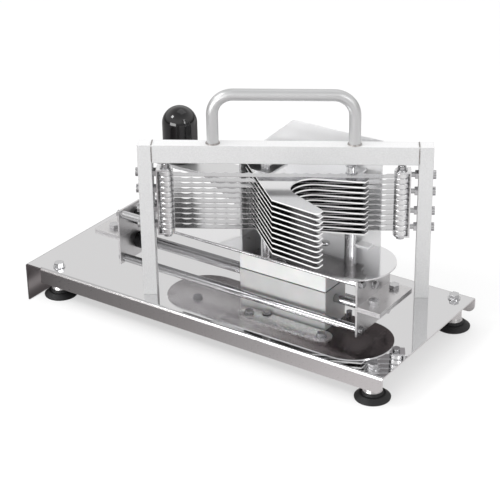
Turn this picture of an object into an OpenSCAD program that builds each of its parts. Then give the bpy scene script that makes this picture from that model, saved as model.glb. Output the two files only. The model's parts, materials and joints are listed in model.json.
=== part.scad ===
// Push-through slicer: a comb carriage on three guide rods drives food through a slanted blade gate.
// Origin: inner face of the bench-edge lip, mid depth, at bench level.
// +X is the pushing direction, +Y the back, +Z up. Millimetres.

/* [Base] */
// length of the base sheet along the rods
base_length = 425; // [415:5:460]
// depth of the base sheet
base_depth = 184; // [182:2:200]
// height of the base top above the bench
base_height = 31; // [29:1:36]
// thickness of the base sheet
base_sheet = 1.5; // [1.2:0.1:2]
// depth of the long front and back lips
lip_depth = 17; // [14:1:20]
// depth of the bench-edge lip at the left end
hook_depth = 42; // [38:1:50]

/* [Gate] */
// slant of the gate to the pushing direction
gate_angle = 31; // [30.5:0.25:31.5]
// height of the gate above the base
gate_height = 160; // [158:1:166]
// depth of the gate tube
gate_tube = 15; // [14:1:18]
// wall of the gate tube
gate_wall = 1.5; // [1:0.1:2]
// diameter of the carrying handle tube
grip_d = 11.4; // [10:0.2:13]
// rise of the carrying handle above the gate
grip_rise = 55; // [50:0.5:65]

/* [Blades] */
// distance from one blade to the next
blade_pitch = 5.52; // [5.4:0.02:5.6]
// thickness of a blade
blade_t = 0.6; // [0.4:0.1:0.8]
// depth of one scallop in the cutting edge
scallop = 2.4; // [0.8:0.2:3]

/* [Comb] */
// thickness of a comb fin
fin_t = 1.5; // [1:0.1:1.8]
// radius of the round bottom of the comb notch
notch_r = 22; // [18:1:24]

/* [Carriage] */
// diameter of the guide rods
rod_d = 8.6; // [8:0.1:9]
// diameter of the knob
knob_d = 36; // [32:1:38]
// height of the knob
knob_h = 58; // [52:1:62]
// thickness of the food tray
tray_t = 1.5; // [1.2:0.1:2]

/* [Hidden] */
$fn = 48;

blade_n = 11;
top_blade_z = 127.3;
tray_z = 43;               // underside of the tray
tray_top = tray_z + tray_t;

// large bolts and small screws, with their holes
bolt_d = 6;
bolt_snug = 6.1;
tie_hole = 6.2;
bolt_hole = 6.4;
screw_d = 5;
screw_snug = 5.1;
screw_hole = 5.2;

steel = [0.80, 0.81, 0.82];
satin = [0.72, 0.73, 0.74];
black = [0.06, 0.06, 0.06];
white = [0.93, 0.93, 0.92];

// ---------- frames ----------
gate_w = 281.6;
gate_corner = [145.2, 12.6];

// base frame: x, y from the front-left corner, z from the base top
module at_base() translate([-base_sheet, -base_depth / 2, base_height]) children();
module gate_turn() translate([gate_corner[0], gate_corner[1], 0]) rotate([0, 0, gate_angle]) children();
// gate frame: x along the gate, y through it, z from the base top
module at_gate() at_base() gate_turn() children();
// gate frame seen from one end: side 0 is the left end, side 1 the mirrored right end
module at_gate_end(side) at_gate() translate([side * gate_w, 0, 0]) mirror([side, 0, 0]) children();

// ---------- shared shapes ----------
module hex_prism(across, h) cylinder(d = across / cos(30), h = h, $fn = 6);
// head above z = 0, shank below
module hex_bolt(across, head_h, len) {
  hex_prism(across, head_h);
  translate([0, 0, -len]) cylinder(d = bolt_d, h = len + 0.01);
}
module ring(outer, inner, h) difference() {
  cylinder(d = outer, h = h);
  translate([0, 0, -1]) cylinder(d = inner, h = h + 2);
}
module x_cylinder(d, h) rotate([0, 90, 0]) cylinder(d = d, h = h);
// upright cylinders at a list of [x, y] points
module drill(points, z, d, h) for (p = points) translate([p[0], p[1], z]) cylinder(d = d, h = h);

// ---------- base ----------
bend_r = 3;            // outer radius of the folded edges
lip_start = 20;        // the long lips start here
lip_corner_r = 8;      // rounded lower right corner of the long lips
corner_strip = 4;
foot_x = [34.7, base_length - 16.9];
foot_y = [13, base_depth - 13];

// folded edge: flat on top, quarter bend, lip hanging down
module lip_profile(depth) {
  translate([bend_r, -base_sheet]) square([6, base_sheet]);
  translate([0, -depth]) square([base_sheet, depth - bend_r]);
  intersection() {
    translate([0, -bend_r]) square([bend_r, bend_r]);
    translate([bend_r, -bend_r]) difference() {
      circle(r = bend_r);
      circle(r = bend_r - base_sheet);
    }
  }
}
module long_lip() difference() {
  translate([lip_start, 0, 0]) rotate([90, 0, 90])
    linear_extrude(height = base_length - lip_start) lip_profile(lip_depth);
  translate([base_length - lip_corner_r, -1, -lip_depth]) difference() {
    translate([0, 0, -1]) cube([lip_corner_r + 2, 4, lip_corner_r + 1]);
    translate([0, 5, lip_corner_r]) rotate([90, 0, 0]) cylinder(r = lip_corner_r, h = 6);
  }
}
module base_plate() color(steel) at_base() difference() {
  union() {
    translate([bend_r, bend_r, -base_sheet])
      cube([base_length - bend_r, base_depth - 2 * bend_r, base_sheet]);
    long_lip();
    translate([0, base_depth, 0]) mirror([0, 1, 0]) long_lip();
    // bench-edge lip
    translate([0, base_depth, 0]) rotate([90, 0, 0])
      linear_extrude(height = base_depth) lip_profile(hook_depth);
    // flat strips left of the long lips
    for (y = [0, base_depth - corner_strip]) translate([bend_r, y, -base_sheet])
      cube([lip_start - bend_r, corner_strip, base_sheet]);
  }
  drill([for (x = foot_x, y = foot_y) [x, y]], -5, bolt_hole, 10);
  gate_turn() drill(post_centres, -5, bolt_hole, 10);
  drill(bracket_bolt_pts, -5, bolt_hole, 10);
}

module at_feet(z) at_base() for (x = foot_x, y = foot_y) translate([x, y, z]) children();
module rubber_feet() color(black) at_feet(-base_height) difference() {
  union() {
    cylinder(r1 = 17, r2 = 17.2, h = 1.2);
    translate([0, 0, 1.2]) cylinder(r1 = 17.2, r2 = 12.5, h = 3.8);
    translate([0, 0, 5]) cylinder(r1 = 10.2, r2 = 9.2, h = 3);
  }
  translate([0, 0, -1]) cylinder(r1 = 14, r2 = 9, h = 3);
  translate([0, 0, 5]) cylinder(d = 9, h = 5);
}
// neck inside the rubber, flared shoulder, sleeve up to the base sheet
module foot_collars() color(satin) at_feet(-base_height) difference() {
  sleeve_r = 8.2;
  sleeve_z = 11;
  union() {
    translate([0, 0, 5]) cylinder(d = 8.9, h = 4);
    translate([0, 0, 8]) cylinder(r1 = 9.3, r2 = sleeve_r, h = 3);
    translate([0, 0, sleeve_z]) cylinder(r = sleeve_r, h = base_height - base_sheet - sleeve_z);
  }
  translate([0, 0, base_height - 14]) cylinder(d = bolt_snug, h = 20);
}
module foot_bolts() color(steel) at_feet(0) {
  ring(12.5, bolt_snug, 1);
  translate([0, 0, 1]) hex_bolt(9, 4, 12);
}

// ---------- gate ----------
post_w = 13.5;
post_plug = 12;        // solid foot of a post
bar_h = 18;
post_centres = [for (x = [post_w / 2, gate_w - post_w / 2]) [x, gate_tube / 2]];
blade_y = 8;           // blade line within the gate
tension_z = [129.3, 112, 91.5, 74.3];

module post(x) translate([x, 0, 0]) difference() {
  cube([post_w, gate_tube, gate_height]);
  translate([gate_wall, gate_wall, post_plug])
    cube([post_w - 2 * gate_wall, gate_tube - 2 * gate_wall, gate_height - post_plug - gate_wall]);
  translate([post_w / 2, gate_tube / 2, -1]) cylinder(d = bolt_snug, h = 11);
  for (z = tension_z) translate([-1, blade_y, z]) x_cylinder(5.4, post_w + 2);
}
module gate_left_post() color(satin) at_gate() post(0);
module gate_right_post() color(satin) at_gate() post(gate_w - post_w);
module gate_top_bar() color(satin) at_gate() translate([post_w, 0, gate_height - bar_h])
  difference() {
    cube([gate_w - 2 * post_w, gate_tube, bar_h]);
    translate([-1, gate_wall, gate_wall])
      cube([gate_w, gate_tube - 2 * gate_wall, bar_h - 2 * gate_wall]);
  }
// two legs, a level tube and two quarter bends
module carry_handle() color(satin) at_gate() translate([0, gate_tube / 2, gate_height]) {
  bend = 20;
  left = 72.1;
  right = 207;
  top = grip_rise - grip_d / 2;
  for (x = [left, right]) translate([x, 0, 0]) cylinder(d = grip_d, h = top - bend);
  translate([left + bend, 0, top]) x_cylinder(grip_d, right - left - 2 * bend);
  translate([left + bend, 0, top - bend]) rotate([90, 0, 0]) rotate([0, 0, 90])
    rotate_extrude(angle = 90) translate([bend, 0]) circle(d = grip_d);
  translate([right - bend, 0, top - bend]) rotate([90, 0, 0])
    rotate_extrude(angle = 90) translate([bend, 0]) circle(d = grip_d);
}
// driven up through the base into the post feet
module post_screws() color(steel) at_gate() for (p = post_centres)
  translate([p[0], p[1], -base_sheet]) mirror([0, 0, 1]) hex_bolt(10, 4, base_sheet + 9);

// ---------- blade pack ----------
pin_inset = [25.8, 29.3];   // left and right pins, from their ends of the gate
spacer_h = blade_pitch - blade_t;
pack_top = top_blade_z + blade_t / 2 + spacer_h;
pack_bottom = top_blade_z - (blade_n - 1) * blade_pitch - blade_t / 2 - spacer_h;
pack_h = pack_top - pack_bottom;
holder_reach = 8.8;         // from the pin to the outer face of the holder web
holder_web = 1.2;
holder_flange = 1.5;
holder_r = 7;

module at_pin(side) at_gate_end(side) translate([pin_inset[side], blade_y, 0]) children();

// channel around the pack: an upright web and two flanges with round ends
module holder() difference() {
  union() {
    translate([-holder_reach, -holder_r, pack_bottom - holder_flange])
      cube([holder_web, 2 * holder_r, pack_h + 2 * holder_flange]);
    for (z = [pack_bottom - holder_flange, pack_top]) {
      translate([-holder_reach, -holder_r, z]) cube([holder_reach, 2 * holder_r, holder_flange]);
      translate([0, 0, z]) cylinder(r = holder_r, h = holder_flange);
    }
  }
  translate([0, 0, pack_bottom - 3]) cylinder(d = screw_hole, h = pack_h + 8);
  for (z = tension_z) translate([-10, 0, z]) x_cylinder(screw_snug, 3);
}
// shank, head below, washer and domed nut on top
module pin() {
  translate([0, 0, pack_bottom - 4.5]) cylinder(d = screw_d, h = pack_h + 8);
  translate([0, 0, pack_bottom - 5]) cylinder(d = 8, h = 5 - holder_flange);
  translate([0, 0, pack_top + holder_flange]) ring(11, screw_d, 0.8);
  translate([0, 0, pack_top + 2.3]) hex_prism(7, 3.2);
  translate([0, 0, pack_top + 5.1]) sphere(d = 5.6);
}
// washer with chamfered rims
module spacer() difference() {
  outer = 14.5;
  rim = 13.3;
  chamfer = 0.6;
  union() {
    cylinder(d1 = rim, d2 = outer, h = chamfer);
    translate([0, 0, chamfer]) cylinder(d = outer, h = spacer_h - 2 * chamfer);
    translate([0, 0, spacer_h - chamfer]) cylinder(d1 = outer, d2 = rim, h = chamfer);
  }
  translate([0, 0, -1]) cylinder(d = screw_hole, h = spacer_h + 2);
}
module spacers() for (i = [0 : blade_n])
  translate([0, 0, pack_top - spacer_h - i * blade_pitch]) spacer();
module holder_left() color(steel) at_pin(0) holder();
module holder_right() color(steel) at_pin(1) holder();
module pin_left() color(steel) at_pin(0) pin();
module pin_right() color(steel) at_pin(1) pin();
module spacers_left() color(steel) at_pin(0) spacers();
module spacers_right() color(steel) at_pin(1) spacers();

// blade i, counted from the top; the scalloped edge faces the oncoming food
module blade(i) color(steel) at_gate()
  translate([0, blade_y, top_blade_z - (i - 1) * blade_pitch - blade_t / 2]) {
    pin_x = [pin_inset[0], gate_w - pin_inset[1]];
    half = 5;
    plain_end = 13;
    count = 18;
    start = pin_x[0] + plain_end;
    pitch = (pin_x[1] - plain_end - start) / count;
    chord = 0.9 * pitch;
    arc_r = chord * chord / (8 * scallop) + scallop / 2;
    difference() {
      union() {
        translate([pin_x[0], -half, 0]) cube([pin_x[1] - pin_x[0], 2 * half, blade_t]);
        for (x = pin_x) translate([x, 0, 0]) cylinder(r = 6.4, h = blade_t);
      }
      for (x = pin_x) translate([x, 0, -1]) cylinder(d = screw_hole, h = 3);
      for (k = [0 : count - 1])
        translate([start + (k + 0.5) * pitch, half + arc_r - scallop, -1])
          cylinder(r = arc_r, h = 3, $fn = 96);
    }
  }
module blade_01() blade(1);
module blade_02() blade(2);
module blade_03() blade(3);
module blade_04() blade(4);
module blade_05() blade(5);
module blade_06() blade(6);
module blade_07() blade(7);
module blade_08() blade(8);
module blade_09() blade(9);
module blade_10() blade(10);
module blade_11() blade(11);

// from outside the post to the inner face of the holder web
module tension_screws(side) color(steel) at_gate_end(side)
  for (z = tension_z) translate([0, blade_y, z]) {
    translate([-3.2, 0, 0]) x_cylinder(8.6, 3.2);
    x_cylinder(screw_d, pin_inset[side] - holder_reach + holder_web);
  }
module tension_screws_left() tension_screws(0);
module tension_screws_right() tension_screws(1);
module tension_nuts() color(steel) for (side = [0, 1]) at_gate_end(side)
  for (z = tension_z) translate([post_w, blade_y, z]) rotate([0, 90, 0]) difference() {
    hex_prism(8, 3.2);
    translate([0, 0, -1]) cylinder(d = screw_snug, h = 6);
  }

// ---------- comb ----------
tie_pts = [[229, 107], [229, 138], [306, 142]];
notch_centre = [298.5, 85];
tip_front = [335.5, 46];
tip_back = [335.5, 124];
cap_h = 4;                  // spacer on the top fin
top_fin_z = top_blade_z - blade_pitch / 2;
cap_z = top_fin_z + fin_t / 2 + cap_h;

// fin outline, [x, y], without its two rounded right corners
fin_pts = [
  [279.5, 41.8], [328.5, 37.8], [332.5, 41.8], [332.5, 60], [332.5, 110],
  [332.5, 129], [320, 140], [318, 150.5], [208, 150.5], [208, 103.4]
];

// mid height of fin i, counted from the top
function fin_z(i) = top_fin_z - (i - 1) * blade_pitch;
// tangent point on the notch circle seen from tip; side picks one of the two
function tangent(tip, side) =
  let (
    away = tip - notch_centre,
    angle = atan2(away[1], away[0]) + side * acos(notch_r / norm(away))
  )
  [notch_centre[0] + notch_r * cos(angle), notch_centre[1] + notch_r * sin(angle)];

module fin_2d() difference() {
  union() {
    polygon(fin_pts);
    translate([328.5, 41.8]) circle(r = 4);
    translate([327.5, 129]) circle(r = 5);
  }
  translate(notch_centre) circle(r = notch_r, $fn = 96);
  // mouth of the notch, open to the right
  polygon([tangent(tip_front, -1), tip_front, tip_front + [10, 0],
           tip_back + [10, 0], tip_back, tangent(tip_back, 1)]);
  for (p = tie_pts) translate(p) circle(d = tie_hole);
}
module fin(i) color(steel) at_base()
  translate([0, 0, fin_z(i) - fin_t / 2]) linear_extrude(height = fin_t) fin_2d();
module fin_01() fin(1);
module fin_02() fin(2);
module fin_03() fin(3);
module fin_04() fin(4);
module fin_05() fin(5);
module fin_06() fin(6);
module fin_07() fin(7);
module fin_08() fin(8);
module fin_09() fin(9);
module fin_10() fin(10);
module fin_11() fin(11);

// between the fins, under the comb and on top of it
module fin_spacers() color(steel) at_base() for (p = tie_pts) translate([p[0], p[1], 0]) {
  for (i = [2 : blade_n])
    translate([0, 0, fin_z(i) + fin_t / 2]) ring(10, tie_hole, blade_pitch - fin_t);
  translate([0, 0, tray_top]) ring(12, tie_hole, fin_z(blade_n) - fin_t / 2 - tray_top);
  translate([0, 0, top_fin_z + fin_t / 2]) ring(10, tie_hole, cap_h);
}
// the two left bolts also clamp the handle bracket; the two rear ones reach deeper
module tie_bolts() color(steel) at_base() for (p = tie_pts) {
  seat_z = cap_z + (p[0] < 300 ? handle_sheet : 0);
  tail = p[1] > 112 ? 12 : 5;
  translate([p[0], p[1], seat_z]) {
    ring(12, bolt_d, 1);
    translate([0, 0, 1]) hex_prism(10, 4);
    translate([0, 0, tray_z - seat_z - tail]) cylinder(d = bolt_d, h = seat_z - tray_z + tail + 1);
  }
}
module tie_nuts() color(steel) at_base()
  translate([tie_pts[0][0], tie_pts[0][1], tray_z - 4]) difference() {
    hex_prism(8, 4);
    translate([0, 0, -1]) cylinder(d = bolt_snug, h = 6);
  }

// ---------- carriage ----------
handle_sheet = 2;
handle_x = 204;             // left face of the handle bracket upright
handle_y = 98;
handle_w = 46;
stud_at = [112, 125];
arm_z = 95;
arm_t = 3;

// upright sheet with two tabs resting on the tray
module back_wall() color(steel) at_base() union() {
  translate([0, 153.5, 0]) rotate([90, 0, 0]) linear_extrude(height = 1.5)
    polygon([[190, tray_top], [334, tray_top], [334, 157.5], [232, 157.5], [190, 121.6]]);
  for (tab = [[193, 9], [312, 14]])   // x, width
    translate([tab[0], 141.5, tray_top]) cube([tab[1], 11, 1.5]);
}
module handle_bracket() color(steel) at_base() difference() {
  union() {
    translate([handle_x, handle_y, tray_top])
      cube([handle_sheet, handle_w, cap_z + handle_sheet - tray_top]);
    translate([handle_x, handle_y, cap_z]) cube([36, handle_w, handle_sheet]);
    // arm to the left, with a gusset under it
    translate([94, stud_at[1] - 18, arm_z]) cube([111, 36, arm_t]);
    translate([0, stud_at[1] + 1.5, 0]) rotate([90, 0, 0]) linear_extrude(height = 3)
      polygon([[204.5, 50], [204.5, 95.5], [124, 95.5]]);
  }
  drill(tie_pts, cap_z - 1, tie_hole, 6);
  drill([stud_at], 90, 8.2, 12);
}
module handle_stud() color(steel) at_base() translate([stud_at[0], stud_at[1], 0]) {
  translate([0, 0, 91]) cylinder(d = 8, h = 40);
  translate([0, 0, arm_z - 6.5]) hex_prism(13, 6.5);
}
module knob() color(black) at_base() translate([stud_at[0], stud_at[1], arm_z + arm_t])
  difference() {
    radius = knob_d / 2;
    union() {
      cylinder(r1 = radius - 2.5, r2 = radius - 0.6, h = 3);
      translate([0, 0, 3]) cylinder(r1 = radius - 0.6, r2 = radius, h = 6);
      translate([0, 0, 9]) cylinder(r = radius, h = knob_h - radius - 9);
      translate([0, 0, knob_h - radius]) sphere(r = radius, $fn = 96);
    }
    translate([0, 0, -1]) cylinder(d = 8.2, h = 36);
  }

tray_x = [148, 328];        // centres of the round tray ends
tray_y = 113;
tray_r = 41;
strap_x = [213, 300];       // centres of the round strap ends
strap_y = 98;
strap_r = 11;
strap_t = 2;
strap_screw_pts = [for (x = strap_x) [x, strap_y]];
tray_end_screw = [tray_x[0], strap_y];
block_x = 193;
block_l = 103;
block_w = 38;
block_z = 0.6;

// rods: y of the front one, distance to the back one, heights
rod_y = 106;
rod_dy = 50;
rod_z = 25.6;
mid_y = rod_y + rod_dy / 2;
mid_z = 14;
block_screw_pts = [[215, mid_y], [284, mid_y]];

// long hole shape: a rectangle with round ends about xs[0] and xs[1]
module slot_2d(xs, y, r, facets) {
  translate([xs[0], y - r]) square([xs[1] - xs[0], 2 * r]);
  for (x = xs) translate([x, y]) circle(r = r, $fn = facets);
}
module tray() color(steel) at_base() difference() {
  translate([0, 0, tray_z]) linear_extrude(height = tray_t) slot_2d(tray_x, tray_y, tray_r, 128);
  drill(tie_pts, tray_z - 1, tie_hole, 4);
  drill(concat(strap_screw_pts, [tray_end_screw], block_screw_pts), tray_z - 1, screw_hole, 4);
}
module slide_block() color(white) at_base() difference() {
  translate([block_x, mid_y - block_w / 2, block_z]) cube([block_l, block_w, tray_z - block_z]);
  translate([block_x - 1, mid_y, mid_z]) x_cylinder(rod_d + 0.12, block_l + 2);
  drill([tie_pts[1]], tray_z - 14, bolt_snug, 15);
  drill(block_screw_pts, tray_z - 14, screw_snug, 15);
}
// plate under the tray, cut away around the tie nut
module strap() color(steel) at_base() difference() {
  translate([0, 0, tray_z - strap_t]) linear_extrude(height = strap_t)
    slot_2d(strap_x, strap_y, strap_r, $fn);
  drill(strap_screw_pts, tray_z - 4, screw_hole, 6);
  drill([tie_pts[0]], tray_z - 4, 11, 6);
}
// washer and hex head below the clamped sheets
module under_screw(p, clamped) translate([p[0], p[1], tray_top - clamped]) {
  mirror([0, 0, 1]) {
    ring(11, screw_d, 0.8);
    translate([0, 0, 0.8]) hex_prism(8, 3);
  }
  translate([0, 0, -1]) cylinder(d = screw_d, h = 1 + clamped);
}
module tray_screws() color(steel) at_base() {
  for (p = strap_screw_pts) under_screw(p, tray_t + strap_t);
  under_screw(tray_end_screw, tray_t);
  // low conical heads on top, screwed down into the block
  for (p = block_screw_pts) translate([p[0], p[1], tray_top]) {
    cylinder(r1 = 4.5, r2 = 3.4, h = 1.8);
    translate([0, 0, -12]) cylinder(d = screw_d, h = 12.5);
  }
}

// ---------- rods and brackets ----------
leg_l = 44;                 // left faces of the bracket uprights
leg_r = 338;
leg_t = 2;
bracket_foot_t = 2.5;
rod_pts = [[rod_y, rod_z], [mid_y, mid_z], [rod_y + rod_dy, rod_z]];   // y, z
bracket_bolt_pts = [[27.5, 113], [27.5, 150], [350, 115], [350, 154]]; // x, y

module rod(p) color(satin) at_base()
  translate([leg_l + leg_t, p[0], p[1]]) x_cylinder(rod_d, leg_r - leg_l - leg_t);
module rod_front() rod(rod_pts[0]);
module rod_mid() rod(rod_pts[1]);
module rod_back() rod(rod_pts[2]);
module bumper() color(black) at_base()
  translate([leg_l + leg_t, mid_y, mid_z]) rotate([0, 90, 0]) ring(18, rod_d + 0.2, 8);

// upright at leg_x and a foot flange from flange_x
module bracket(leg_x, flange_x, flange_l) color(steel) at_base() difference() {
  union() {
    translate([leg_x, 99, 0]) cube([leg_t, 64, 31]);
    translate([flange_x, 99, 0]) cube([flange_l, 64, bracket_foot_t]);
  }
  for (p = rod_pts) translate([leg_x - 1, p[0], p[1]]) x_cylinder(screw_hole, 4);
  drill(bracket_bolt_pts, -1, bolt_hole, 5);
}
module bracket_left() bracket(leg_l, leg_l - 32, 32 + leg_t);
module bracket_right() bracket(leg_r, leg_r, 27.5);
// bolts with nuts below the base
module bracket_bolts() color(steel) at_base() for (p = bracket_bolt_pts)
  translate([p[0], p[1], bracket_foot_t]) {
    hex_bolt(9.5, 4.2, 9.4);
    translate([0, 0, -8.2]) hex_prism(10, 4.2);
  }
module rod_screw() {
  ring(9.5, screw_d, 0.8);
  translate([0, 0, 0.8]) hex_prism(7, 3);
  translate([0, 0, -2]) cylinder(d = screw_d, h = 3);
}
module rod_screws() color(steel) at_base() for (p = rod_pts) {
  translate([leg_l, p[0], p[1]]) rotate([0, -90, 0]) rod_screw();
  translate([leg_r + leg_t, p[0], p[1]]) rotate([0, 90, 0]) rod_screw();
}

base_plate();
rubber_feet();
foot_collars();
foot_bolts();
gate_left_post();
gate_right_post();
gate_top_bar();
carry_handle();
post_screws();
holder_left();
holder_right();
pin_left();
pin_right();
spacers_left();
spacers_right();
blade_01();
blade_02();
blade_03();
blade_04();
blade_05();
blade_06();
blade_07();
blade_08();
blade_09();
blade_10();
blade_11();
tension_screws_left();
tension_screws_right();
tension_nuts();
fin_01();
fin_02();
fin_03();
fin_04();
fin_05();
fin_06();
fin_07();
fin_08();
fin_09();
fin_10();
fin_11();
fin_spacers();
tie_bolts();
tie_nuts();
back_wall();
handle_bracket();
handle_stud();
knob();
tray();
slide_block();
strap();
tray_screws();
rod_front();
rod_mid();
rod_back();
bumper();
bracket_left();
bracket_right();
bracket_bolts();
rod_screws();
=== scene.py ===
# A sheet-steel device: a base plate on rubber feet, a tray with fins, a back wall, rods,
# and a gate frame of two posts and a top bar that carries a handle.
# The CAD pieces come placed, in metres with +Z up; the feet stand on z = 0.
# This script gives them materials, adds the gate's welds, and sets floor, camera and lights.
import bpy
import bmesh
import math
import json
from mathutils import Vector, Matrix, noise


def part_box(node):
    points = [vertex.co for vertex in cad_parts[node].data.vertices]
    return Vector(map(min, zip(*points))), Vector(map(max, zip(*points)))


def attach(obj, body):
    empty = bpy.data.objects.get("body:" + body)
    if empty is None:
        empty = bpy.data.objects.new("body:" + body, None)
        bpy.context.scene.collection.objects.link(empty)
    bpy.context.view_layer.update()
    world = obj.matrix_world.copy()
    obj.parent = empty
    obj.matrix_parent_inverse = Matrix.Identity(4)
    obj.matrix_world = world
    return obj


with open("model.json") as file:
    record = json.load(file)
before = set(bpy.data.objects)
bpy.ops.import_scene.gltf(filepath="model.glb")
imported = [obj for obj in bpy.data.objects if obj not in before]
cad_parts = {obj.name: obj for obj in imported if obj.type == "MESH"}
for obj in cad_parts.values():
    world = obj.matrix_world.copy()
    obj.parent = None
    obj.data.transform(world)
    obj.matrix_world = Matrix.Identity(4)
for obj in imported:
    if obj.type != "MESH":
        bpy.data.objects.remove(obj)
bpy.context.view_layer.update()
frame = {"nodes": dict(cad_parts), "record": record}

scene = bpy.context.scene
scene.view_settings.view_transform = "Standard"
scene.view_settings.look = "None"
nodes = frame["nodes"]
base_lo, base_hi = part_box("base_plate")
tray_lo, tray_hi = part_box("tray")

materials = {}


# ---------------------------------------------------------------- shader helpers
def clear_tree(owner):
    """Turns on the nodes of a material or world and empties its tree."""
    owner.use_nodes = True
    owner.node_tree.nodes.clear()
    return owner.node_tree


def add(tree, kind, inputs=None, **settings):
    """Adds a shader node; an input is either a socket to link or a value."""
    node = tree.nodes.new("ShaderNode" + kind)
    for name, value in settings.items():
        setattr(node, name, value)
    for key, value in (inputs or {}).items():
        if isinstance(value, bpy.types.NodeSocket):
            tree.links.new(value, node.inputs[key])
        else:
            node.inputs[key].default_value = value
    return node


def new_material(name):
    """Registers a material and returns its tree and Principled shader."""
    material = bpy.data.materials.new(name)
    materials[name] = material
    tree = clear_tree(material)
    output = add(tree, "OutputMaterial")
    shader = add(tree, "BsdfPrincipled")
    tree.links.new(shader.outputs[0], output.inputs[0])
    return tree, shader


def ramp(tree, source, to_min, to_max, from_min=0.3, from_max=0.7):
    """Maps a value range; the default source range suits the middle of a noise."""
    return add(tree, "MapRange", {
        "From Min": from_min, "From Max": from_max,
        "To Min": to_min, "To Max": to_max, "Value": source,
    }).outputs["Result"]


def noise_texture(tree, scale, stretch=(1, 1, 1), detail=4.0):
    """Noise in object space; a larger stretch makes it finer on that axis."""
    coords = add(tree, "TexCoord")
    mapping = add(tree, "Mapping", {"Scale": stretch, "Vector": coords.outputs["Object"]})
    return add(tree, "TexNoise", {
        "Scale": scale, "Detail": detail, "Vector": mapping.outputs["Vector"],
    }).outputs["Fac"]


def mix(tree, first, second, factor):
    """Mixes two colours, each a socket or an RGB tuple."""
    first, second = [(*c, 1) if isinstance(c, tuple) else c for c in (first, second)]
    return add(tree, "Mix", {"A": first, "B": second, "Factor": factor},
               data_type="RGBA").outputs["Result"]


def colour_ramp(tree, source, stops):
    """Colour ramp from (position, RGB) stops, the first at 0 and the last at 1."""
    node = add(tree, "ValToRGB", {"Fac": source})
    elements = node.color_ramp.elements
    elements[0].color = (*stops[0][1], 1)
    elements[1].color = (*stops[-1][1], 1)
    for position, colour in stops[1:-1]:
        elements.new(position).color = (*colour, 1)
    return node.outputs["Color"]


def mottle_colour(tree, shader, colour, scale, darker, lighter):
    """Varies the base colour in broad patches between two multiples of it."""
    patches = ramp(tree, noise_texture(tree, scale), 0, 1)
    dark = tuple(c * darker for c in colour)
    light = tuple(min(1.0, c * lighter) for c in colour)
    shade = mix(tree, dark, light, patches)
    tree.links.new(shade, shader.inputs["Base Color"])


def shape_normal(tree, shader, bevel, bump=0.0, height=None, distance=0.0):
    """Rounds the edges in shading by a bevel radius and adds a fine bump."""
    normal = None
    if bevel:
        normal = add(tree, "Bevel", {"Radius": bevel}, samples=6).outputs["Normal"]
    if bump:
        inputs = {"Strength": bump, "Distance": distance, "Height": height}
        if normal is not None:
            inputs["Normal"] = normal
        normal = add(tree, "Bump", inputs).outputs["Normal"]
    if normal is not None:
        tree.links.new(normal, shader.inputs["Normal"])


# ---------------------------------------------------------------- material kinds
def metal(name, colour, rough, grain=(1, 1, 1), scale=900.0, spread=0.08, bump=0.0,
          tint=0.05, bevel=0.0, metallic=1.0):
    """Metal whose grain noise varies roughness by spread; tint varies the colour."""
    tree, shader = new_material(name)
    shader.inputs["Metallic"].default_value = metallic
    fine = noise_texture(tree, scale, grain)
    mottle_colour(tree, shader, colour, scale=14.0, darker=1 - tint, lighter=1 + tint)
    roughness = ramp(tree, fine, max(0.01, rough - spread), rough + spread)
    tree.links.new(roughness, shader.inputs["Roughness"])
    shape_normal(tree, shader, bevel, bump, fine, distance=0.0002)


def plain(name, colour, rough, scale, coat=0.0, bump=0.0, specular=0.5, subsurface=0.0,
          bevel=0.0, spread=0.05):
    """Rubber or plastic, with an optional clear coat and subsurface scattering."""
    tree, shader = new_material(name)
    mottle_colour(tree, shader, colour, scale=40.0, darker=0.94, lighter=1.05)
    fine = noise_texture(tree, scale)
    roughness = ramp(tree, fine, max(0.02, rough - spread), rough + spread)
    tree.links.new(roughness, shader.inputs["Roughness"])
    shader.inputs["Specular IOR Level"].default_value = specular
    shader.inputs["Coat Weight"].default_value = coat
    shader.inputs["Coat Roughness"].default_value = 0.04
    if subsurface:
        shader.inputs["Subsurface Weight"].default_value = subsurface
        shader.inputs["Subsurface Scale"].default_value = 0.004
    shape_normal(tree, shader, bevel, bump, fine, distance=0.0003)


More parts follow.
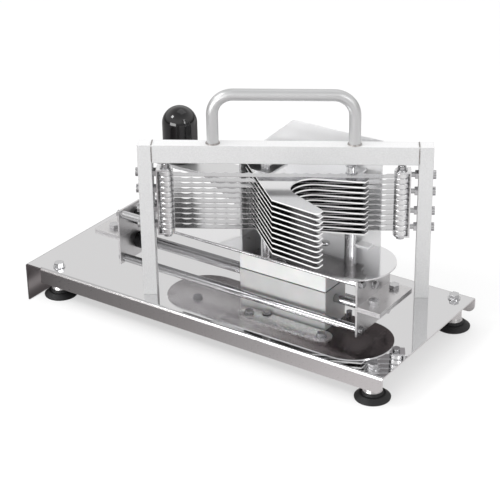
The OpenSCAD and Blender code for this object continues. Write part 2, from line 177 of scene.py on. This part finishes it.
def by_normal(name, x_range, top, top_rough, sides, side_rough, under, under_rough,
              side_metal=1.0, top_metal=1.0, left=None, bevel=0.0, mottle=0.03):
    """Sheet metal with painted light and shade: upward, sideways and downward faces get their
    own colours.

    sides and under are colours spaced evenly over x_range; left, if given, is the
    colour of the faces turned to -X.
    """
    tree, shader = new_material(name)
    shader.inputs["Metallic"].default_value = 1.0
    geometry = add(tree, "NewGeometry")
    normal = add(tree, "SeparateXYZ", {0: geometry.outputs["True Normal"]})
    coords = add(tree, "TexCoord")
    place = add(tree, "SeparateXYZ", {0: coords.outputs["Object"]})
    across = ramp(tree, place.outputs["X"], 0, 1, *x_range)

    def along(colours):
        last = len(colours) - 1
        return colour_ramp(tree, across, [(i / last, c) for i, c in enumerate(colours)])

    # painted shade: the side and under colours change along X; if left is given, faces turned
    # to -X take it as painted light
    side_colour = along(sides)
    under_colour = along(under)
    if left is not None:
        leftward = ramp(tree, normal.outputs["X"], 1, 0, -0.9, -0.4)
        side_colour = mix(tree, side_colour, left, leftward)
    up = ramp(tree, normal.outputs["Z"], 0, 1, 0.35, 0.9)
    down = ramp(tree, normal.outputs["Z"], 1, 0, -0.9, -0.35)

    # painted light and shade: each face takes the colour for the way it faces
    def by_facing(side_value, top_value, under_value):
        return mix(tree, mix(tree, side_value, top_value, up), under_value, down)

    # faint grey patches, then a fine speckle of brightness
    colour = by_facing(side_colour, top, under_colour)
    patches = ramp(tree, noise_texture(tree, 9.0), 0.0, 0.06)
    patched = mix(tree, colour, (0.72, 0.71, 0.71), patches)
    speckle = ramp(tree, noise_texture(tree, 1100.0, detail=2.0),
                   1.0 - mottle, 1.0 + mottle * 0.5)
    speckled = add(tree, "VectorMath", {0: patched, "Scale": speckle}, operation="SCALE")
    tree.links.new(speckled.outputs[0], shader.inputs["Base Color"])

    # roughness varies along a grain that runs in X
    rough = by_facing((side_rough,) * 3, (top_rough,) * 3, (under_rough,) * 3)
    grain = ramp(tree, noise_texture(tree, 240.0, (1, 12, 12)), 0.86, 1.16)
    roughness = add(tree, "Math", {0: rough, 1: grain}, operation="MULTIPLY")
    tree.links.new(roughness.outputs[0], shader.inputs["Roughness"])
    shape_normal(tree, shader, bevel)
    if side_metal < 1.0:
        metallic = by_facing((side_metal,) * 3, (top_metal,) * 3, (1.0,) * 3)
        tree.links.new(metallic, shader.inputs["Metallic"])


# ---------------------------------------------------------------- materials
STEEL = (0.80, 0.80, 0.81)
BASE_X = (base_lo.x, base_hi.x)
TRAY_X = (tray_lo.x, tray_hi.x)

metal("mirror_steel", STEEL, rough=0.055, scale=60.0, spread=0.025, tint=0.02)
metal("polished_steel", STEEL, rough=0.16, grain=(1, 14, 14), scale=220.0, spread=0.05,
      bump=0.04, tint=0.04, bevel=0.0004)
metal("brushed_steel", (0.62, 0.61, 0.61), rough=0.30, grain=(12, 1, 12), scale=260.0,
      bump=0.12, tint=0.08, bevel=0.0004)
metal("satin_steel", (0.80, 0.81, 0.82), rough=0.46, scale=1500.0, spread=0.06,
      bump=0.10, tint=0.03, bevel=0.0010)
metal("blade_steel", (0.60, 0.60, 0.61), rough=0.20, grain=(8, 8, 1), scale=260.0,
      spread=0.05, bump=0.03, tint=0.04)
metal("fastener_steel", (0.56, 0.56, 0.57), rough=0.20, scale=500.0, spread=0.07,
      bump=0.05, tint=0.06, bevel=0.0005)
metal("weld", (0.44, 0.42, 0.41), rough=0.30, scale=700.0, spread=0.12, bump=0.25, tint=0.15)
plain("black_rubber", (0.012, 0.012, 0.013), rough=0.55, scale=700.0, bump=0.12,
      specular=0.4, bevel=0.0006)
plain("black_knob", (0.004, 0.0035, 0.004), rough=0.08, scale=200.0, coat=0.45, spread=0.03)
plain("white_plastic", (0.94, 0.94, 0.93), rough=0.42, scale=500.0, bump=0.05,
      specular=0.45, subsurface=0.12, bevel=0.0012)
# painted shade on the base plate: sideways faces, the front lip among them, darker at the left
# end, undersides painted dark, faces turned to -X painted light
by_normal("base_sheet", BASE_X, top=(0.68, 0.678, 0.685), top_rough=0.022,
          sides=[(0.42, 0.385, 0.39)] + [(0.66, 0.64, 0.64)] * 4 + [(0.68, 0.67, 0.67)] * 4,
          side_rough=0.30, under=[(0.30, 0.29, 0.29)] * 2, under_rough=0.35,
          left=(0.92, 0.91, 0.91))
# painted shade on the tray: its underside is light at the left and nearly black towards the
# right, which the mirror plate shows as a dark reflection
by_normal("tray_sheet", TRAY_X, top=STEEL, top_rough=0.10,
          sides=[(0.78, 0.78, 0.79)] * 2, side_rough=0.18,
          under=[(0.86, 0.84, 0.84), (1.0, 0.98, 0.98), (0.86, 0.84, 0.835),
                 (0.34, 0.315, 0.31), (0.12, 0.10, 0.10), (0.11, 0.09, 0.09)],
          under_rough=0.24)
# painted light and shade on the fins: sides painted brighter than the tops, undersides painted
# dark
by_normal("fin_sheet", TRAY_X, top=STEEL, top_rough=0.13,
          sides=[(0.93, 0.93, 0.93)] * 2, side_rough=0.34,
          under=[(0.34, 0.33, 0.33)] * 2, under_rough=0.25, side_metal=0.30)
metal("wall_sheet", (0.92, 0.92, 0.925), rough=0.42, spread=0.05, bump=0.04, tint=0.03,
      bevel=0.0004, metallic=0.22)
# painted light and shade on the gate: tops painted lighter than the sides, undersides darker
# still
by_normal("gate_satin", BASE_X, top=(0.90, 0.90, 0.905), top_rough=0.48,
          sides=[(0.69, 0.693, 0.696)] * 2, side_rough=0.50,
          under=[(0.60, 0.60, 0.60)] * 2, under_rough=0.50,
          side_metal=0.50, top_metal=0.25, bevel=0.0010, mottle=0.10)
metal("handle_satin", (0.61, 0.613, 0.616), rough=0.42, scale=1500.0, spread=0.06,
      bump=0.08, tint=0.03, bevel=0.0005, metallic=0.85)
metal("shelf_sheet", (0.74, 0.74, 0.745), rough=0.34, grain=(1, 12, 12), scale=300.0,
      spread=0.06, bump=0.06, bevel=0.0005, metallic=0.80)
metal("strap_sheet", (0.96, 0.95, 0.95), rough=0.26, grain=(1, 12, 12), scale=240.0,
      bump=0.08, tint=0.06, bevel=0.0004)
metal("bracket_sheet", (0.70, 0.69, 0.695), rough=0.34, grain=(10, 1, 10), scale=240.0,
      bump=0.08, tint=0.10, bevel=0.0005)
metal("rod_steel", (0.66, 0.66, 0.67), rough=0.15, grain=(14, 1, 1), scale=260.0,
      spread=0.03, tint=0.03)
metal("spacer_steel", (0.86, 0.86, 0.865), rough=0.30, grain=(1, 1, 12), scale=500.0,
      spread=0.07, bump=0.04, bevel=0.0004)

# pieces whose material differs from the one in their record
OWN_MATERIAL = {
    "base_plate": "base_sheet", "tray": "tray_sheet", "back_wall": "wall_sheet",
    "handle_bracket": "shelf_sheet", "strap": "strap_sheet", "carry_handle": "handle_satin",
    "gate_left_post": "gate_satin", "gate_right_post": "gate_satin",
    "gate_top_bar": "gate_satin",
    "bracket_left": "bracket_sheet", "bracket_right": "bracket_sheet",
    "spacers_left": "spacer_steel", "spacers_right": "spacer_steel",
}
recorded = {s["node"]: s["material_slot"] for s in frame["record"]["subparts"]}


def material_name(piece):
    if piece.startswith("rod_") and piece != "rod_screws":
        return "rod_steel"
    if piece.startswith("fin_") and piece != "fin_spacers":
        return "fin_sheet"
    return OWN_MATERIAL.get(piece) or recorded[piece]


for piece, obj in nodes.items():
    material = materials[material_name(piece)]
    if not obj.material_slots:
        obj.data.materials.append(material)
    for slot in obj.material_slots:
        slot.material = material


# ---------------------------------------------------------------- weld helpers
BEAD_SIDES = 8
BEAD_STEP = 0.0009      # length of one ripple of a straight bead


def weld_object(name, bm):
    """Turns the beads into a smooth object that rides on the frame."""
    bmesh.ops.recalc_face_normals(bm, faces=bm.faces)
    mesh = bpy.data.meshes.new(name)
    bm.to_mesh(mesh)
    bm.free()
    for face in mesh.polygons:
        face.use_smooth = True
    obj = bpy.data.objects.new(name, mesh)
    scene.collection.objects.link(obj)
    mesh.materials.append(materials["weld"])
    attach(obj, "frame")


def tube(bm, points, radii, closed=False):
    """Sweeps a circle of varying radius along points; an open tube gets end caps."""
    rings = []
    count = len(points)
    for i, point in enumerate(points):
        before = points[(i - 1) % count] if closed or i > 0 else point
        after = points[(i + 1) % count] if closed or i < count - 1 else point
        tangent = (after - before).normalized()
        reference = Vector((0, 0, 1))
        if abs(tangent.dot(reference)) > 0.95:
            reference = Vector((1, 0, 0))
        side = tangent.cross(reference).normalized()
        other = side.cross(tangent).normalized()
        ring = []
        for k in range(BEAD_SIDES):
            angle = k * 2 * math.pi / BEAD_SIDES
            spoke = side * math.cos(angle) + other * math.sin(angle)
            ring.append(bm.verts.new(point + spoke * radii[i]))
        rings.append(ring)
    for i in range(count if closed else count - 1):
        ring, following = rings[i], rings[(i + 1) % count]
        for k in range(BEAD_SIDES):
            j = (k + 1) % BEAD_SIDES
            bm.faces.new((ring[k], ring[j], following[j], following[k]))
    if not closed:
        bm.faces.new(rings[0][::-1])
        bm.faces.new(rings[-1])


def straight_bead(bm, start, end, radius):
    """Rippled bead that thins towards both ends."""
    count = max(6, int((end - start).length / BEAD_STEP))
    points = [start.lerp(end, i / count) for i in range(count + 1)]
    radii = []
    for i in range(count + 1):
        taper = min(1.0, 6.0 * min(i, count - i) / count + 0.35)
        wobble = noise.noise(Vector((i * 0.7, start.x * 90, start.z * 90)))
        radii.append(radius * taper * (0.82 + 0.2 * (i % 2) + 0.16 * wobble))
    tube(bm, points, radii)


# ---------------------------------------------------------------- gate frame
# The gate's own axes: GATE_U runs level from the left post to the right one,
# GATE_N is level and square to it, both measured from a corner of the left post.
def vertices(piece):
    return [v.co.copy() for v in nodes[piece].data.vertices]


left_post = vertices("gate_left_post")
left_corner = min(left_post, key=lambda v: (round(v.y, 5), v.z))
right_corner = max(vertices("gate_right_post"), key=lambda v: (round(v.x, 5), -v.z))
GATE_U = Vector((right_corner.x - left_corner.x, right_corner.y - left_corner.y, 0))
gate_width = GATE_U.length
GATE_U.normalize()
GATE_N = Vector((-GATE_U.y, GATE_U.x, 0))
gate_origin = Vector((left_corner.x, left_corner.y, 0))
gate_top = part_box("gate_left_post")[1].z
bar_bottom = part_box("gate_top_bar")[0].z
post_width = max((v - gate_origin).dot(GATE_U) for v in left_post)
gate_depth = max((v - gate_origin).dot(GATE_N) for v in left_post)


def gate_point(u, n, z):
    return gate_origin + GATE_U * u + GATE_N * n + Vector((0, 0, z))


def gate_seams():
    """Beads round the two joints between the top bar and the posts."""
    lift = 0.0001       # bead axis outside the sheet
    inset = 0.0005      # bead ends short of the corners
    low, high = bar_bottom + inset, gate_top - inset
    # shift towards the middle, start (n, z), end (n, z), radius
    beads = [
        (0.0001, (-lift, low), (-lift, high), 0.00062),
        (0.0001, (inset, gate_top + lift), (gate_depth - inset, gate_top + lift), 0.00075),
        (0.0001, (gate_depth + lift, low), (gate_depth + lift, high), 0.00062),
        (0.0003, (0.001, bar_bottom), (gate_depth - 0.001, bar_bottom), 0.0009),
    ]
    bm = bmesh.new()
    for joint in (post_width, gate_width - post_width):
        inward = 1 if joint < gate_width / 2 else -1
        for shift, start, end, radius in beads:
            u = joint + inward * shift
            straight_bead(bm, gate_point(u, *start), gate_point(u, *end), radius)
    weld_object("gate_weld_seams", bm)


def handle_collars():
    """A ring of weld round each foot of the carry handle, on top of the gate."""
    stations = 64
    outset, lift = 0.0003, 0.0004
    foot_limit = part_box("carry_handle")[0].z + 0.0005
    feet = [v for v in vertices("carry_handle") if v.z < foot_limit]
    offsets = [(v - gate_origin).dot(GATE_U) for v in feet]
    middle = (min(offsets) + max(offsets)) / 2
    bm = bmesh.new()
    for side in (-1, 1):
        foot = [v for v, u in zip(feet, offsets) if (u - middle) * side > 0]
        x_min, x_max = min(v.x for v in foot), max(v.x for v in foot)
        y_min, y_max = min(v.y for v in foot), max(v.y for v in foot)
        x_mid, y_mid = (x_min + x_max) / 2, (y_min + y_max) / 2
        ring_radius = (x_max - x_min) / 2 + outset
        points, radii = [], []
        for i in range(stations):
            angle = i * 2 * math.pi / stations
            x, y = math.cos(angle), math.sin(angle)
            wobble = noise.noise(Vector((x * 2.2, y * 2.2, side * 3.0)))
            points.append(Vector((x_mid + ring_radius * x, y_mid + ring_radius * y,
                                  gate_top + lift)))
            radii.append(0.00095 * (0.9 + 0.18 * (i % 2) + 0.3 * wobble))
        tube(bm, points, radii, closed=True)
    weld_object("carry_handle_welds", bm)


gate_seams()
handle_collars()


# ---------------------------------------------------------------- floor
def floor_material():
    """Half-lit white floor that looks darker, graded along X, in reflections."""
    tree, shader = new_material("floor")
    shader.inputs["Base Color"].default_value = (0.93, 0.93, 0.93, 1)
    roughness = ramp(tree, noise_texture(tree, 6.0), 0.55, 0.62)
    tree.links.new(roughness, shader.inputs["Roughness"])
    shader.inputs["Specular IOR Level"].default_value = 0.15
    glow = add(tree, "Emission", {"Color": (1, 1, 1, 1)})
    white = add(tree, "MixShader", {"Fac": 0.5, 1: shader.outputs[0], 2: glow.outputs[0]})

    # painted reflection: glossy rays see the floor as a grey ramp along X, dark at the left
    # and light at the right, which the base plate's front lip reflects as its shading
    x_start, x_end = -0.15, 0.50
    stops = [(0.0, (0.45, 0.44, 0.44))]
    # x, grey level
    for x, grey in ((-0.06, 0.16), (-0.02, 0.11), (0.136, 0.25), (0.266, 0.43), (0.386, 0.72)):
        position = (x - x_start) / (x_end - x_start)
        stops.append((position, (grey, grey * 0.955, grey * 0.965)))
    stops.append((1.0, (0.82, 0.81, 0.81)))
    coords = add(tree, "TexCoord")
    place = add(tree, "SeparateXYZ", {0: coords.outputs["Object"]})
    across = ramp(tree, place.outputs["X"], 0, 1, x_start, x_end)
    reflected = add(tree, "Emission", {"Color": colour_ramp(tree, across, stops)})
    rays = add(tree, "LightPath")
    surface = add(tree, "MixShader", {
        "Fac": rays.outputs["Is Glossy Ray"], 1: white.outputs[0], 2: reflected.outputs[0],
    })
    output = next(n for n in tree.nodes if n.type == "OUTPUT_MATERIAL")
    tree.links.new(surface.outputs[0], output.inputs[0])


def floor_plane(name, x0, x1, z):
    y0, y1 = -FLOOR_REACH, FLOOR_REACH
    mesh = bpy.data.meshes.new(name)
    corners = [(x0, y0, z), (x1, y0, z), (x1, y1, z), (x0, y1, z)]
    mesh.from_pydata(corners, [], [(0, 1, 2, 3)])
    obj = bpy.data.objects.new(name, mesh)
    scene.collection.objects.link(obj)
    mesh.materials.append(materials["floor"])


# The bench stops just left of the feet; beyond it the floor lies just under the base plate.
FLOOR_REACH = 9.0
bench_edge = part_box("rubber_feet")[0].x - 0.0004
low_level = base_lo.z - 0.0002
floor_material()
floor_plane("floor_bench", bench_edge, FLOOR_REACH, 0.0)
floor_plane("floor_low", -FLOOR_REACH, bench_edge, low_level)

# ---------------------------------------------------------------- camera
centre = Vector(((base_lo.x + base_hi.x) / 2, (base_lo.y + base_hi.y) / 2, 0))
CAMERA_OFFSET = Vector((0.8010651, -1.1495597, 0.7640625))
# rows: the camera's right, up and backward directions
CAMERA_AXES = Matrix((
    (0.8267548210680183, 0.5623783925602918, -0.014387822006528675),
    (-0.24058716468620084, 0.3765755279082965, 0.8945997361774947),
    (0.5085216632839196, -0.7361531195083604, 0.44663665614128195),
))
camera = bpy.data.objects.new("camera", bpy.data.cameras.new("camera"))
scene.collection.objects.link(camera)
scene.camera = camera
camera.data.sensor_width = 36.0
camera.data.lens = 112.62
camera.data.clip_start = 0.05
camera.data.clip_end = 50.0
camera.matrix_world = (Matrix.Translation(centre + CAMERA_OFFSET)
                       @ CAMERA_AXES.transposed().to_4x4())


# ---------------------------------------------------------------- lights
def area_light(name, x, y, z, width, height, power):
    """Rectangular light aimed at the device; x is measured from its centre."""
    light = bpy.data.lights.new(name, "AREA")
    light.energy = power
    light.shape = "RECTANGLE"
    light.size = width
    light.size_y = height
    obj = bpy.data.objects.new(name, light)
    scene.collection.objects.link(obj)
    place = Vector((centre.x + x, y, z))
    target = Vector((centre.x, centre.y, 0.06))
    obj.location = place
    obj.rotation_mode = "QUATERNION"
    obj.rotation_quaternion = (target - place).to_track_quat("-Z", "Y")


area_light("key", x=-0.9, y=-1.1, z=1.6, width=0.5, height=0.5, power=8)
area_light("fill", x=1.6, y=-0.5, z=0.9, width=0.22, height=0.9, power=4)
area_light("top", x=0, y=0.5, z=1.9, width=1.2, height=1.2, power=2.5)
area_light("front", x=-0.3, y=-1.7, z=0.32, width=1.3, height=0.5, power=12)


def studio_world():
    """White to the camera and diffuse rays; other rays see bands of grey by height."""
    world = bpy.data.worlds.new("studio")
    scene.world = world
    tree = clear_tree(world)
    # position from straight down (0) to straight up (1), grey level
    bands = ((0.42, 0.55), (0.475, 0.20), (0.53, 0.16), (0.585, 0.60), (0.66, 0.98),
             (0.78, 1.0), (0.88, 0.74))
    stops = [(0.0, (0.55, 0.54, 0.54))]
    stops += [(position, (grey, grey * 0.995, grey * 0.99)) for position, grey in bands]
    stops.append((1.0, (0.52, 0.52, 0.525)))
    coords = add(tree, "TexCoord")
    direction = add(tree, "SeparateXYZ", {0: coords.outputs["Generated"]})
    height = ramp(tree, direction.outputs["Z"], 0, 1, -1.0, 1.0)
    banded = add(tree, "Background", {
        "Color": colour_ramp(tree, height, stops), "Strength": 0.95,
    })
    white = add(tree, "Background", {"Color": (1, 1, 1, 1), "Strength": 1.0})
    rays = add(tree, "LightPath")
    sees_white = add(tree, "Math", {
        0: rays.outputs["Is Camera Ray"], 1: rays.outputs["Is Diffuse Ray"],
    }, operation="MAXIMUM")
    surface = add(tree, "MixShader", {
        "Fac": sees_white.outputs[0], 1: banded.outputs[0], 2: white.outputs[0],
    })
    add(tree, "OutputWorld", {0: surface.outputs[0]})


studio_world()
